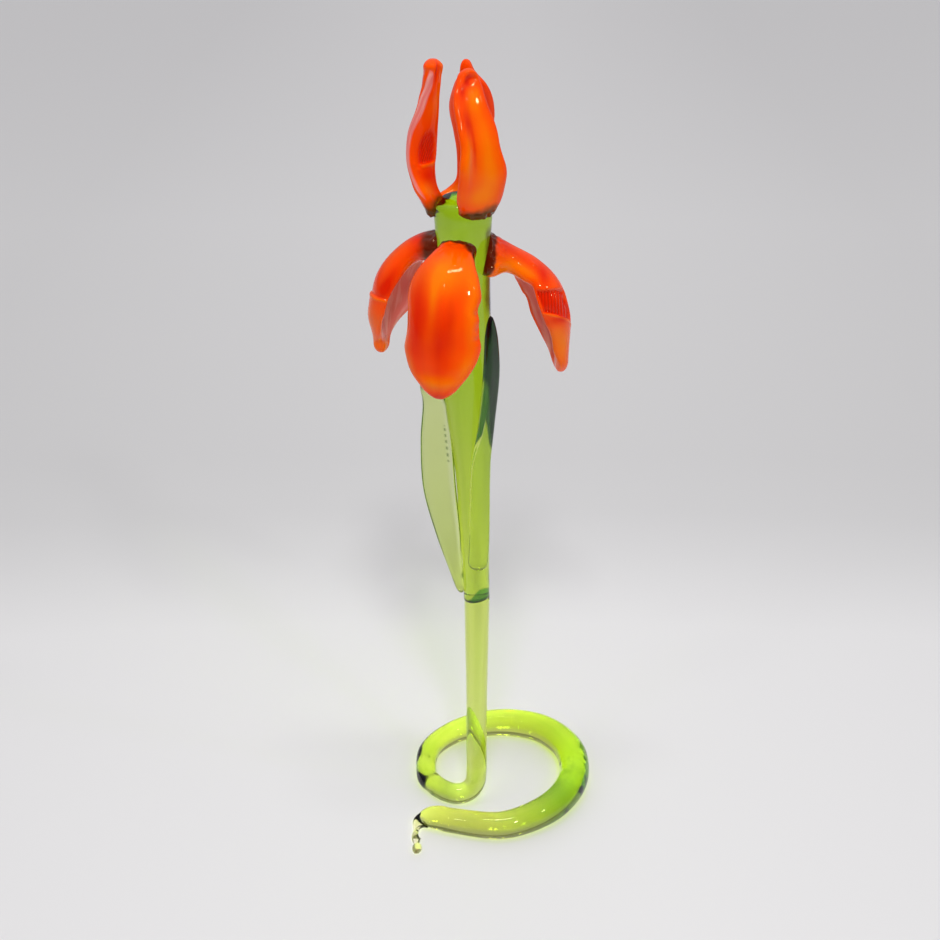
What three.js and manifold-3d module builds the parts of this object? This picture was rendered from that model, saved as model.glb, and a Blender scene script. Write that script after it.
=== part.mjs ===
// An iris flower of flameworked glass that stands on its own coiled rod, about 180 mm tall.
// Millimetres, +Z up, seen from the front along +Y. Shapes are worked out round the foot of the
// stem, and the whole is then moved so that its origin lies under the middle of its box.
import * as THREE from "three";
import Module from "manifold-3d";

const wasm = await Module();
wasm.setup();

// Driving dimensions

const middleOfBox = { x: 3.6, y: 5.4 }; // the middle of the box, measured from the foot of the stem
const seatGap = 0.3; // clearance where one piece is fused to another

// The stem is a drawn rod that bends over at its foot and lies in an opening spiral.
const rodSides = 12;
const restShare = Math.cos(Math.PI / rodSides); // height of a lying rod's middle, as a share of its radius
const stepsPerStretch = 3;
const jointHeight = 57.5; // where the stem is fused to the flower tube
const stemPlace = { x: 1.6, y: 0 };
const stemHeights = [jointHeight, 44, 30, 16, 9];
const stemRadii = [2.88, 2.7, 2.52, 2.5, 2.5];
const bend = [
  [1.1, -0.1, 5.2],
  [-0.7, -0.6, 3.1],
]; // x, y and height of the rod's centre as it turns over
const bendRadius = 2.5;
const coilLead = [
  [-3.6, -0.8, 2.5],
  [-6.4, 0.6, 2.5],
  [-8.9, 3.3, 2.5],
]; // x, y and radius of the rod from the bend to the coil
const coilMiddle = { x: 7.4, y: 7.3 };
const coilStart = 180; // degrees, on the left
const coilStep = -30; // degrees from one reach to the next, clockwise seen from above
const coilReaches = [18.2, 20.3, 21.2, 21.5, 21.5, 20, 18.6, 18.4, 19.4, 21.4, 22.4];
const coilRadii = [2.55, 2.7, 2.95, 3.4, 3.6, 3.75, 3.75, 3.65, 3.5, 3.2, 2.95];
const tail = [
  [-7.2, -10.8, 2.85],
  [-9.8, -10.4, 2.5],
  [-11.5, -10.8, 1.7],
  [-12.4, -12.2, 1.15],
  [-12.8, -14.2, 0.9],
  [-12.7, -16.2, 0.8],
  [-12.3, -17.8, 0.65],
  [-12.3, -18.9, 0.7],
  [-12.4, -19.9, 1.15],
  [-12.5, -20.8, 1],
  [-12.5, -21.3, 0.5],
]; // x, y and radius of the drawn-out end and its bead

// The flower tube is a solid bar that widens upwards and leans a little to the left.
const tubeSides = 24;
const tube = [
  { z: jointHeight, x: 1.5, radius: 2.9 },
  { z: 67, x: 1.3, radius: 3.05 },
  { z: 79, x: 0.92, radius: 3.5 },
  { z: 91, x: 0.55, radius: 4.03 },
  { z: 106, x: -0.42, radius: 5.03 },
  { z: 124, x: -1.1, radius: 5.5 },
  { z: 140, x: -1.45, radius: 5.68 },
  { z: 146, x: -1.42, radius: 6.05 },
  { z: 149.6, x: -1.5, radius: 6.5 },
  { z: 150.8, x: -1.5, radius: 6.3 },
  { z: 151.5, x: -1.5, radius: 5.4 },
];

// Petals and leaves are pressed blades. Each list has one value for each point of the spine:
// how far out from the flower's axis and how high, sideways shift, half the width along the
// blade's curve, the angle that the blade wraps through, its thickness and its roll.
const flowerAxis = { x: -1.4, y: 0 };
const bladePoints = 16; // points round a blade's section
const bladeSteps = 22; // sections along a blade
const tipShare = 0.08; // the part of a blade that rounds off to its tip

const falls = {
  fall_left: {
    azimuth: 160,
    spine: [[4, 140.8], [9.5, 140.4], [14.4, 137.6], [18.5, 132.8], [20, 126.8], [19.9, 121], [19.1, 115.2]],
    shift: [0, 0, 0, 0, 0, 0, 0],
    halfWidth: [4.6, 4.6, 7.4, 9.6, 9, 5.4, 1.7],
    wrap: [80, 110, 150, 180, 175, 130, 40],
    thickness: [7.4, 5, 3.2, 2.4, 2.3, 2.6, 3],
    roll: [0, 0, 5, 12, 15, 12, 0],
  },
  fall_front: {
    azimuth: 254,
    spine: [[4, 141], [9, 140.4], [14.2, 137.2], [17.4, 131.6], [18.6, 125.4], [18.6, 119.6], [17.6, 114.4]],
    shift: [0, 0, 0, 0, 0, 0, 0],
    halfWidth: [3.9, 4.6, 8, 8.6, 8.6, 7.3, 1.8],
    wrap: [40, 60, 90, 100, 95, 70, 30],
    thickness: [6, 4.6, 3, 2.4, 2.3, 2.4, 2.8],
    roll: [0, 0, 0, 0, 0, 0, 0],
  },
  fall_right: {
    azimuth: 12,
    spine: [[4, 140.2], [9.5, 139.4], [15.4, 136.6], [19.9, 131.8], [21.8, 125.4], [22, 118.4], [21.6, 111.4]],
    shift: [0, 0, 0, 0, 0, 0, 0],
    halfWidth: [5, 4.6, 7.8, 10.4, 9.4, 5.4, 1.8],
    wrap: [80, 110, 160, 195, 195, 160, 40],
    thickness: [8, 5, 3.2, 2.4, 2.3, 2.6, 3.2],
    roll: [0, 0, -5, -10, -10, -8, 0],
  },
};

const standards = {
  standard_left: {
    azimuth: 162,
    spine: [[5.2, 148], [7.3, 152], [8.6, 158], [8.3, 164.5], [7, 171], [6.4, 176], [6.4, 179.6]],
    shift: [0, 0, 0, 0, 0, 0, 0],
    halfWidth: [2.6, 3, 3.6, 3.5, 2.3, 1.8, 1.8],
    wrap: [-30, 10, 70, 80, 50, 20, 10],
    thickness: [3.4, 3, 2.6, 2.4, 2.6, 3, 3.4],
    roll: [0, -10, -35, -40, -30, -10, 0],
  },
  standard_back: {
    azimuth: 76,
    spine: [[4.6, 147.6], [6.4, 150.2], [7.2, 153.6], [7.4, 160], [6.8, 166.6], [4.9, 173.8], [3, 179.2]],
    shift: [0, 0, 0, 0, 0, 0, 0.3],
    halfWidth: [7, 6.6, 3.4, 3.4, 4.7, 3.2, 1.2],
    wrap: [-120, -100, -10, 50, 50, 40, 10],
    thickness: [3, 2.6, 2.4, 2.3, 2.3, 2.5, 2.8],
    roll: [0, 0, 0, 0, 0, 0, 0],
  },
  standard_right: {
    azimuth: 300,
    spine: [[5.6, 149.4], [7, 152.6], [7.7, 157.8], [7.1, 164.4], [4.9, 170.6], [2.9, 175], [2, 178.4]],
    shift: [-0.3, 0, 0, -0.4, -0.9, -0.4, 0],
    halfWidth: [3.8, 5.2, 5.8, 4.8, 3.7, 2.8, 1.6],
    wrap: [-60, -30, 40, 60, 60, 50, 10],
    thickness: [3.4, 3, 2.6, 2.4, 2.4, 2.5, 2.8],
    roll: [0, 0, 0, 0, 0, 0, 0],
  },
};

const leaves = {
  leaf_left: {
    azimuth: 270,
    spine: [[0.5, 59.5], [0.5, 66], [0.4, 75], [0.3, 86], [0.2, 97], [0.2, 106], [0.2, 111.4]],
    shift: [-0.6, -2, -3.6, -5.4, -6, -6.4, -9.4],
    halfWidth: [1.1, 1.7, 2.9, 3.7, 3.5, 2.6, 0.6],
    wrap: [10, 10, 20, 20, 20, 20, 10],
    thickness: [2.2, 1.9, 1.7, 1.6, 1.5, 1.4, 1.1],
    roll: [0, 0, 0, 0, 0, 0, 0],
  },
  leaf_right: {
    azimuth: 270,
    spine: [[3.4, 66], [3.9, 73], [4.4, 82], [5, 93], [5.6, 103], [6.4, 116], [7.4, 128.6]],
    shift: [3.1, 3.5, 3.6, 3.8, 4.9, 5.9, 5.7],
    halfWidth: [2.2, 2.3, 2.3, 2.3, 2.8, 3.4, 1],
    wrap: [-60, -60, -50, -40, 0, 10, 10],
    thickness: [1.6, 1.6, 1.6, 1.8, 2, 2, 1.4],
    roll: [0, 5, 10, 20, 55, 75, 80],
  },
};

const greenGlass = { color: 0x9cc83c, roughness: 0.05, metalness: 0 };
const orangeGlass = { color: 0xf0560a, roughness: 0.08, metalness: 0 };

// Shapes

// The value of a list, or its smooth in-between, at a share from 0 to 1 of the way along it.
function along(list, share) {
  const points = list.map((value, index) => new THREE.Vector2(index, value));
  return new THREE.SplineCurve(points).getPoint(share).y;
}

// A closed surface through rings of equally many points, with a fan over each end. From flipFrom on,
// the points of a ring lie on a blade's other face, whose triangles lean the other way.
function loft(rings, flipFrom = Infinity) {
  const count = rings[0].length;
  const vertices = rings.flat();
  const triangles = [];
  for (let ring = 0; ring < rings.length - 1; ring += 1) {
    for (let point = 0; point < count; point += 1) {
      const next = (point + 1) % count;
      const a = ring * count + point;
      const b = ring * count + next;
      const c = a + count;
      const d = b + count;
      if (point < flipFrom) {
        triangles.push(a, b, d, a, d, c);
      } else {
        triangles.push(a, b, c, b, d, c);
      }
    }
  }
  for (const [start, turn] of [[0, -1], [(rings.length - 1) * count, 1]]) {
    const middle = new THREE.Vector3();
    for (let point = 0; point < count; point += 1) {
      middle.addScaledVector(vertices[start + point], 1 / count);
    }
    const hub = vertices.push(middle) - 1;
    for (let point = 0; point < count; point += 1) {
      const next = (point + 1) % count;
      const pair = turn > 0 ? [point, next] : [next, point];
      triangles.push(hub, start + pair[0], start + pair[1]);
    }
  }
  return { vertices, triangles };
}

// A loft as a solid, with its faces turned outwards.
function solidOf({ vertices, triangles }) {
  const corner = (index) => vertices[triangles[index]];
  let volume = 0;
  for (let index = 0; index < triangles.length; index += 3) {
    volume += corner(index).dot(corner(index + 1).clone().cross(corner(index + 2)));
  }
  const order = volume > 0 ? triangles : triangles.slice().reverse();
  const mesh = new wasm.Mesh({
    numProp: 3,
    vertProperties: new Float32Array(vertices.flatMap((vertex) => vertex.toArray())),
    triVerts: new Uint32Array(order),
  });
  return new wasm.Manifold(mesh);
}

function geometryOf(solid) {
  const mesh = solid.getMesh();
  const geometry = new THREE.BufferGeometry();
  geometry.setAttribute("position", new THREE.BufferAttribute(mesh.vertProperties, 3));
  geometry.setIndex(new THREE.BufferAttribute(mesh.triVerts, 1));
  geometry.computeVertexNormals();
  return geometry;
}

// The rod's route as x, y, height and radius. Where it lies, its lowest side is at height 0.
function rodRoute() {
  const lying = ([x, y, radius]) => [x, y, radius * restShare, radius];
  const coil = coilReaches.map((reach, index) => {
    const angle = THREE.MathUtils.degToRad(coilStart + coilStep * index);
    return [
      coilMiddle.x + reach * Math.cos(angle),
      coilMiddle.y + reach * Math.sin(angle),
      coilRadii[index],
    ];
  });
  return [
    ...stemHeights.map((height, index) => [stemPlace.x, stemPlace.y, height, stemRadii[index]]),
    ...bend.map(([x, y, height]) => [x, y, height, bendRadius]),
    ...[...coilLead, ...coil, ...tail].map(lying),
  ];
}

function rod() {
  const route = rodRoute();
  const curve = new THREE.CatmullRomCurve3(
    route.map(([x, y, height]) => new THREE.Vector3(x, y, height)),
    false,
    "catmullrom",
    0.5,
  );
  const radii = route.map((stop) => stop[3]);
  const stretches = route.length - 1;
  const steps = stretches * stepsPerStretch;
  const bendStart = (stemHeights.length - 1) / stretches;
  const bendEnd = (stemHeights.length + bend.length) / stretches;
  const rings = [];
  for (let step = 0; step <= steps; step += 1) {
    const share = step / steps;
    const laid = THREE.MathUtils.clamp((share - bendStart) / (bendEnd - bendStart), 0, 1);
    const centre = curve.getPoint(share);
    const tangent = curve.getTangent(share);
    const radius = along(radii, share);
    if (laid === 1) {
      centre.setZ(radius * restShare);
      tangent.setZ(0).normalize();
    }
    const under = new THREE.Vector3(1 - laid, 0, -laid);
    under.addScaledVector(tangent, -under.dot(tangent)).normalize();
    const side = tangent.clone().cross(under);
    const ring = [];
    for (let corner = 0; corner < rodSides; corner += 1) {
      const angle = ((corner + 0.5) / rodSides) * 2 * Math.PI;
      ring.push(
        centre
          .clone()
          .addScaledVector(under, radius * Math.cos(angle))
          .addScaledVector(side, radius * Math.sin(angle)),
      );
    }
    rings.push(ring);
  }
  return solidOf(loft(rings));
}

function flowerTube(extra = 0) {
  const steps = (tube.length - 1) * 2;
  const rings = [];
  for (let step = 0; step <= steps; step += 1) {
    const share = step / steps;
    const height = along(tube.map((stop) => stop.z), share);
    const lean = along(tube.map((stop) => stop.x), share);
    const radius = along(tube.map((stop) => stop.radius), share) + extra;
    const lift = share === 1 ? extra : 0;
    const ring = [];
    for (let corner = 0; corner < tubeSides; corner += 1) {
      const angle = (corner / tubeSides) * 2 * Math.PI;
      ring.push(
        new THREE.Vector3(lean + radius * Math.cos(angle), radius * Math.sin(angle), height + lift),
      );
    }
    rings.push(ring);
  }
  return solidOf(loft(rings));
}

// A pressed blade along its spine, curved across like a gutter, with rounded rims and a round tip.
function blade(shape, extra = 0) {
  const azimuth = THREE.MathUtils.degToRad(shape.azimuth);
  const out = new THREE.Vector3(Math.cos(azimuth), Math.sin(azimuth), 0);
  const across = new THREE.Vector3(-Math.sin(azimuth), Math.cos(azimuth), 0);
  const spine = new THREE.CatmullRomCurve3(
    shape.spine.map(([reach, height], index) =>
      new THREE.Vector3(flowerAxis.x, flowerAxis.y, height)
        .addScaledVector(out, reach)
        .addScaledVector(across, shape.shift[index]),
    ),
    false,
    "catmullrom",
    0.5,
  );
  const half = bladePoints / 2;
  const rings = [];
  for (let step = 0; step <= bladeSteps; step += 1) {
    const evenShare = step / bladeSteps;
    const share = Math.min(1, evenShare * (1 + tipShare) - tipShare * evenShare ** 4);
    const tip = Math.max(0, (share - 1 + tipShare) / tipShare);
    const rounding = Math.sqrt(Math.max(0.04, 1 - tip ** 2));
    const centre = spine.getPoint(share);
    const tangent = spine.getTangent(share);
    const roll = THREE.MathUtils.degToRad(along(shape.roll, share));
    const level = across.clone().applyAxisAngle(tangent, roll);
    const side = level.addScaledVector(tangent, -level.dot(tangent)).normalize();
    const crest = tangent.clone().cross(side);
    const halfWidth = along(shape.halfWidth, share) * rounding + extra;
    const thickness = along(shape.thickness, share) * rounding + 2 * extra;
    const wrap = THREE.MathUtils.degToRad(along(shape.wrap, share)) || 0.001;
    const bendRound = (2 * halfWidth) / wrap;
    const ring = [];
    for (let point = 0; point < bladePoints; point += 1) {
      const face = point < half ? 1 : -1;
      const turn = face > 0 ? point / half : (bladePoints - point) / half;
      const place = Math.sin((turn - 0.5) * Math.PI);
      const angle = (place * wrap) / 2;
      const swell = (face * thickness * Math.sqrt(1 - place ** 4)) / 2;
      ring.push(
        centre
          .clone()
          .addScaledVector(side, (bendRound + swell) * Math.sin(angle))
          .addScaledVector(crest, (bendRound + swell) * Math.cos(angle) - bendRound),
      );
    }
    rings.push(ring);
  }
  return solidOf(loft(rings, half));
}

// The pieces

const roomForTube = flowerTube(seatGap);
const solids = {
  stem_and_coil_foot: rod(),
  flower_tube: flowerTube(),
};
for (const [name, shape] of Object.entries({ ...leaves, ...falls })) {
  solids[name] = blade(shape).subtract(roomForTube);
}
let roomForStandards = roomForTube;
for (const [name, shape] of Object.entries(standards)) {
  solids[name] = blade(shape).subtract(roomForStandards);
  roomForStandards = roomForStandards.add(blade(shape, seatGap));
}

const group = new THREE.Group();
group.name = "glass_iris";
for (const [name, solid] of Object.entries(solids)) {
  const finish = name.startsWith("fall") || name.startsWith("standard") ? orangeGlass : greenGlass;
  const mesh = new THREE.Mesh(geometryOf(solid), new THREE.MeshStandardMaterial(finish));
  mesh.name = name;
  mesh.position.set(-middleOfBox.x, -middleOfBox.y, 0);
  group.add(mesh);
}

export default group;
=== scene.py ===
import math

import bpy
from mathutils import Matrix, Vector, noise


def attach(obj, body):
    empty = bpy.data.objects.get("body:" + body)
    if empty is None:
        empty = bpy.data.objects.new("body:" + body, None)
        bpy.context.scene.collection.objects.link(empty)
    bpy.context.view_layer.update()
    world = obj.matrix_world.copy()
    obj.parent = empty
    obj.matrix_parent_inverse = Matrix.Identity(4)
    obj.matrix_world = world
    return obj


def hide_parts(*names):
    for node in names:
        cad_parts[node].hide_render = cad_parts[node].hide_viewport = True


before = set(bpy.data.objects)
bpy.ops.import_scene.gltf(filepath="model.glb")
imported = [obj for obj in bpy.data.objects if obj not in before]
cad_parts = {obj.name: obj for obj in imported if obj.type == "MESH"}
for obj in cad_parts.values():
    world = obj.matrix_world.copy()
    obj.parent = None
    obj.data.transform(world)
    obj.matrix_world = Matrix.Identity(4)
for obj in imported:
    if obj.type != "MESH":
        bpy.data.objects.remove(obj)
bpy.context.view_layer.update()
mm = 0.001
footOfStem = Vector((-3.6, -5.4, 0))  # where the stem's foot stands in the frame, mm
print("frame loaded")


# Small helpers


def linear(hexColour):
    parts = [int(hexColour[i:i + 2], 16) / 255 for i in (0, 2, 4)]
    return [p / 12.92 if p <= 0.04045 else ((p + 0.055) / 1.055) ** 2.4 for p in parts] + [1.0]


def soft(start, end, value):  # 0 before start, 1 after end, smooth between
    t = min(max((value - start) / (end - start), 0), 1)
    return t * t * (3 - 2 * t)


def smoothAlong(stops, share):  # a smooth curve through evenly spaced stops
    spot = min(max(share, 0), 1) * (len(stops) - 1)
    index = min(int(spot), len(stops) - 2)
    t = spot - index
    b, c = stops[index], stops[index + 1]
    a = stops[index - 1] if index > 0 else 2 * b - c
    d = stops[index + 2] if index + 2 < len(stops) else 2 * c - b
    return b + 0.5 * t * ((c - a) + t * ((2 * a - 5 * b + 4 * c - d) + t * (3 * (b - c) + d - a)))


def spotsNear(spots, share):  # the soft spots that reach this ring: share, place, their spreads, amount
    near = [(amount * math.exp(-((share - s) / ds) ** 2), p, dp) for s, p, ds, dp, amount in spots]
    return [spot for spot in near if abs(spot[0]) > 0.004]


def spotsAt(near, place):
    return sum(amount * math.exp(-((place - p) / dp) ** 2) for amount, p, dp in near)


def addNode(material, kind, settings=None, links=None):
    tree = material.node_tree
    node = tree.nodes.new(kind)
    for name, value in (settings or {}).items():
        if isinstance(name, str) and hasattr(node, name):
            setattr(node, name, value)
        else:
            node.inputs[name].default_value = value
    for name, source in (links or {}).items():
        tree.links.new(source, node.inputs[name])
    return node


mixUnder, mixOver, mixResult = 6, 7, 2  # a colour mix's sockets: the colour below, the one above, the outcome


def fillRamp(ramp, stops):  # stops: place from 0 to 1, and the colour there
    while len(ramp.elements) < len(stops):
        ramp.elements.new(0.5)
    for element, (position, colour) in zip(ramp.elements, stops):
        element.position = position
        element.color = (*colour, 1)


plainGlaze = (0, 0, 0, 0)


def gather(name, rings, segments):  # every piece starts as a closed ball of soft glass
    bpy.ops.object.select_all(action="DESELECT")
    bpy.ops.mesh.primitive_uv_sphere_add(segments=segments, ring_count=rings, radius=1)
    ball = bpy.context.object
    ball.name = name
    ball.data.name = name
    return ball


def drawOut(ball, ringAt, pointAt, mark=""):  # each ring of the ball goes to its place along the piece
    rings = {}
    for mask, kind in (("glaze", "FLOAT_COLOR"), ("flow", "FLOAT_VECTOR")):
        ball.data.attributes.new(mark + mask, kind, "POINT")
    glaze, flow = (ball.data.attributes[mark + mask] for mask in ("glaze", "flow"))
    for vertex in ball.data.vertices:
        x, y, z = vertex.co
        # share is 0 where the piece starts and 1 where it ends
        share = round(1 - math.acos(max(-1, min(1, z))) / math.pi, 5)
        if share not in rings:
            rings[share] = ringAt(share)
        turn = math.atan2(y, x) if abs(z) < 0.999999 else None  # the two poles have no turn
        point, colour, along = pointAt(rings[share], share, turn)
        vertex.co = (point + footOfStem) * mm
        glaze.data[vertex.index].color = colour
        flow.data[vertex.index].vector = along
    bpy.ops.object.mode_set(mode="EDIT")
    bpy.ops.mesh.select_all(action="SELECT")
    bpy.ops.mesh.normals_make_consistent(inside=False)
    bpy.ops.object.mode_set(mode="OBJECT")
    bpy.ops.object.shade_smooth()


def finishPiece(piece, node, material):
    piece.data.materials.clear()
    piece.data.materials.append(material)
    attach(piece, "root")
    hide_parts(node)


# Camera

cameraSettings = {"place": (-3.6, -328.2, 240.2), "tilt": 65, "lens": 61.28}
bpy.ops.object.camera_add(
    location=Vector(cameraSettings["place"]) * mm,
    rotation=(math.radians(cameraSettings["tilt"]), 0, 0),
)
camera = bpy.context.object
camera.data.lens = cameraSettings["lens"]
camera.data.sensor_width = 36
camera.data.clip_start = 0.01
bpy.context.scene.camera = camera

# Floor

floorSettings = {
    "size": 7.0,
    "middle": (0, -0.1, 0),  # the painted pool of light is brightest round this point
    "sideways": 0.4,  # the painted pool of light is wider than deep
    "paintedFalloff": [  # distance from the middle in metres, and the board's colour there: painted light falling off with distance
        (0.0, 0.8), (0.18, 0.8), (0.2, 0.762), (0.225, 0.71), (0.255, 0.664), (0.3, 0.655), (0.6, 0.75),
        (1.4, 0.81),
    ],
    "sideFrom": 0.04,  # painted light falls off to the sides
    "sideTo": 0.22,
    "sideLevel": 0.91,
    "frontFrom": -0.24,  # towards the camera the board is painted darker as shade
    "frontTo": -0.55,
    "frontLevel": 0.3,
}
bpy.ops.object.select_all(action="DESELECT")
bpy.ops.mesh.primitive_plane_add(size=floorSettings["size"])
floor = bpy.context.object
floor.name = "photo_board"

# the board's colour holds painted light: a pool round the middle, falling off with distance, to the sides and
# towards the camera
board = bpy.data.materials.new("matt white photo board, smooth sprayed")
board.use_nodes = True
shader = board.node_tree.nodes["Principled BSDF"]
shader.inputs["Roughness"].default_value = 0.38  # a trace of sheen: the foot glimmers in it
shader.inputs["IOR"].default_value = 1.45
spot = addNode(board, "ShaderNodeTexCoord")
squeezed = addNode(
    board, "ShaderNodeVectorMath",
    {"operation": "MULTIPLY", 1: (floorSettings["sideways"], 1, 1)},
    {0: spot.outputs["Object"]},
)
away = addNode(
    board, "ShaderNodeVectorMath",
    {"operation": "DISTANCE", 1: floorSettings["middle"]},
    {0: squeezed.outputs["Vector"]},
)
reach = floorSettings["paintedFalloff"][-1][0]
share = addNode(board, "ShaderNodeMath", {"operation": "DIVIDE", 1: reach}, {0: away.outputs["Value"]})
paintedFalloff = addNode(board, "ShaderNodeValToRGB", links={"Fac": share.outputs[0]})
fillRamp(paintedFalloff.color_ramp, [  # a faintly warm white
    (distance / reach, (level, level * 0.995, level * 0.99)) for distance, level in floorSettings["paintedFalloff"]
])
axes = addNode(board, "ShaderNodeSeparateXYZ", links={"Vector": spot.outputs["Object"]})
front = addNode(board, "ShaderNodeMapRange", {
    "interpolation_type": "SMOOTHSTEP",
    "From Min": floorSettings["frontTo"], "From Max": floorSettings["frontFrom"],
    "To Min": floorSettings["frontLevel"], "To Max": 1.0,
}, {"Value": axes.outputs["Y"]})
aside = addNode(board, "ShaderNodeMath", {"operation": "ABSOLUTE"}, {0: axes.outputs["X"]})
side = addNode(board, "ShaderNodeMapRange", {
    "From Min": floorSettings["sideFrom"], "From Max": floorSettings["sideTo"],
    "To Min": 1.0, "To Max": floorSettings["sideLevel"],
}, {"Value": aside.outputs[0]})
both = addNode(
    board, "ShaderNodeMath", {"operation": "MULTIPLY"},
    {0: front.outputs["Result"], 1: side.outputs["Result"]},
)
paint = addNode(
    board, "ShaderNodeVectorMath", {"operation": "SCALE"},
    {0: paintedFalloff.outputs["Color"], "Scale": both.outputs[0]},
)
board.node_tree.links.new(paint.outputs["Vector"], shader.inputs["Base Color"])
floor.data.materials.append(board)

# Light

room = {"colour": "e3e1e6", "low": 0.2, "high": 0.62, "behind": 0.42}
world = bpy.data.worlds.new("room")
bpy.context.scene.world = world
world.use_nodes = True
direction = addNode(world, "ShaderNodeTexCoord")
axes = addNode(world, "ShaderNodeSeparateXYZ", links={"Vector": direction.outputs["Generated"]})
bright = addNode(world, "ShaderNodeMapRange", {
    "From Min": 0.0, "From Max": 0.9, "To Min": room["low"], "To Max": room["high"],
}, {"Value": axes.outputs["Z"]})
behind = addNode(world, "ShaderNodeMapRange", {  # the room is darker on the camera's side
    "From Min": -1.0, "From Max": 1.0, "To Min": 1 - room["behind"], "To Max": 1 + room["behind"],
}, {"Value": axes.outputs["Y"]})
level = addNode(
    world, "ShaderNodeMath", {"operation": "MULTIPLY"},
    {0: bright.outputs["Result"], 1: behind.outputs["Result"]},
)
background = world.node_tree.nodes["Background"]
background.inputs["Color"].default_value = linear(room["colour"])
world.node_tree.links.new(level.outputs[0], background.inputs["Strength"])

lamps = {
    "lamp_right": {"kind": "SUN", "place": (0.12, -1.0, 1.1), "size": math.radians(7), "power": 0.82},
    "lamp_left": {"kind": "SUN", "place": (-0.1, -1.0, 1.1), "size": math.radians(7), "power": 0.7},
    "softbox_left": {"kind": "AREA", "place": (-0.75, -0.8, 1.3), "size": (0.1, 0.1), "power": 0.5},
    "softbox_right": {"kind": "AREA", "place": (0.52, -0.77, 0.84), "size": (0.08, 0.08), "power": 1.0},
    "softbox_side": {"kind": "AREA", "place": (0.8, -0.3, 0.75), "size": (0.06, 0.06), "power": 0.35},
    "softbox_overhead": {"kind": "AREA", "place": (0.0, -0.12, 0.95), "size": (0.42, 0.07), "power": 1.9},
    "glint_right": {  # the glints stand where the softboxes do
        "kind": "AREA", "place": (0.52, -0.77, 0.84), "size": (0.09, 0.09), "power": 3.0, "glint": True,
    },
    "glint_left": {
        "kind": "AREA", "place": (-0.75, -0.8, 1.3), "size": (0.1, 0.1), "power": 2.0, "glint": True,
    },
}
for name, lamp in lamps.items():
    place = Vector(lamp["place"])
    turn = (Vector((0, 0, 0)) - place).to_track_quat("-Z", "Y").to_euler()
    bpy.ops.object.light_add(type=lamp["kind"], location=place, rotation=turn)
    light = bpy.context.object
    light.name = name
    light.data.energy = lamp["power"]
    if lamp["kind"] == "SUN":
        light.data.angle = lamp["size"]
        light.visible_glossy = False  # the glints come from the softboxes
    else:
        light.data.shape = "RECTANGLE"
        light.data.size, light.data.size_y = lamp["size"]
    if lamp.get("glint"):  # small and strong, it only draws sharp points of light on the gloss
        light.visible_diffuse = False
        light.visible_transmission = False
bpy.context.scene.view_settings.view_transform = "Standard"
print("camera, floor and lights set")

# Green glass
# mark begins the names of a piece's own masks; tintAndShade is how the light that gets through changes along
# it: the glass's tint, and on the rod also painted shade and light


def makeLimeGlass(name, mark, tintAndShade, streaks=None, paintedShade="3f8a28", thin="6a2c0a"):
    glass = bpy.data.materials.new(name)
    glass.use_nodes = True
    tree = glass.node_tree
    shader = tree.nodes["Principled BSDF"]
    shader.inputs["Roughness"].default_value = 0.0  # flame-polished: clear depth, sharp glints and dark rims
    shader.inputs["IOR"].default_value = 1.52
    shader.inputs["Transmission Weight"].default_value = 1.0
    flow = addNode(glass, "ShaderNodeAttribute", {"attribute_name": mark + "flow"})
    axes = addNode(glass, "ShaderNodeSeparateXYZ", links={"Vector": flow.outputs["Vector"]})
    share = addNode(glass, "ShaderNodeMapRange", {"From Max": tintAndShade["length"]}, {"Value": axes.outputs["X"]})
    skin = addNode(glass, "ShaderNodeValToRGB", links={"Fac": share.outputs["Result"]})
    fillRamp(skin.color_ramp, tintAndShade["colours"])  # the light that the glass lets through along the piece
    cover = skin.outputs["Color"]
    layers = []
    if streaks:  # darker streaks drawn out along the piece: painted shade of the glass's refraction
        drawn = addNode(
            glass, "ShaderNodeMapping", {"Scale": streaks["scale"]}, {"Vector": flow.outputs["Vector"]},
        )
        streakShade = addNode(
            glass, "ShaderNodeTexNoise", {"Scale": 1.0, "Detail": 2.0, "Roughness": 0.5},
            {"Vector": drawn.outputs["Vector"]},
        )
        dark = addNode(glass, "ShaderNodeMapRange", {
            "From Min": 0.48, "From Max": 0.66, "To Max": streaks["strength"],
        }, {"Value": streakShade.outputs["Fac"]})
        layers.append((dark.outputs["Result"], streaks["colour"]))
    glaze = addNode(glass, "ShaderNodeAttribute", {"attribute_name": mark + "glaze"})
    masks = addNode(glass, "ShaderNodeSeparateColor", links={"Color": glaze.outputs["Color"]})
    layers += [
        (masks.outputs["Red"], thin),  # brown film of orange over the green; on a leaf, the pale streak of a painted highlight
        (masks.outputs["Green"], paintedShade),  # painted shade: dark places in the glass
        (masks.outputs["Blue"], "fff45a"),  # bright yellow: painted light along the coil's bottom, and the yellow line at the seam
    ]
    for mask, colour in layers:
        layer = addNode(glass, "ShaderNodeMix", {"data_type": "RGBA", mixOver: linear(colour)}, {
            0: mask, mixUnder: cover,
        })
        cover = layer.outputs[mixResult]
    tree.links.new(cover, shader.inputs["Base Color"])
    absorb = addNode(glass, "ShaderNodeVolumeAbsorption", {"Color": (0.81, 0.92, 0.0, 1), "Density": 300})
    output = tree.nodes["Material Output"]
    tree.links.new(absorb.outputs["Volume"], output.inputs["Volume"])
    rays = addNode(glass, "ShaderNodeLightPath")
    clear = addNode(glass, "ShaderNodeBsdfTransparent", {"Color": (0.9, 0.95, 0.8, 1)})  # pale green shadow
    mix = addNode(glass, "ShaderNodeMixShader", links={0: rays.outputs["Is Shadow Ray"]})
    tree.links.new(shader.outputs["BSDF"], mix.inputs[1])
    tree.links.new(clear.outputs["BSDF"], mix.inputs[2])
    tree.links.new(mix.outputs["Shader"], output.inputs["Surface"])
    return glass


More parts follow.
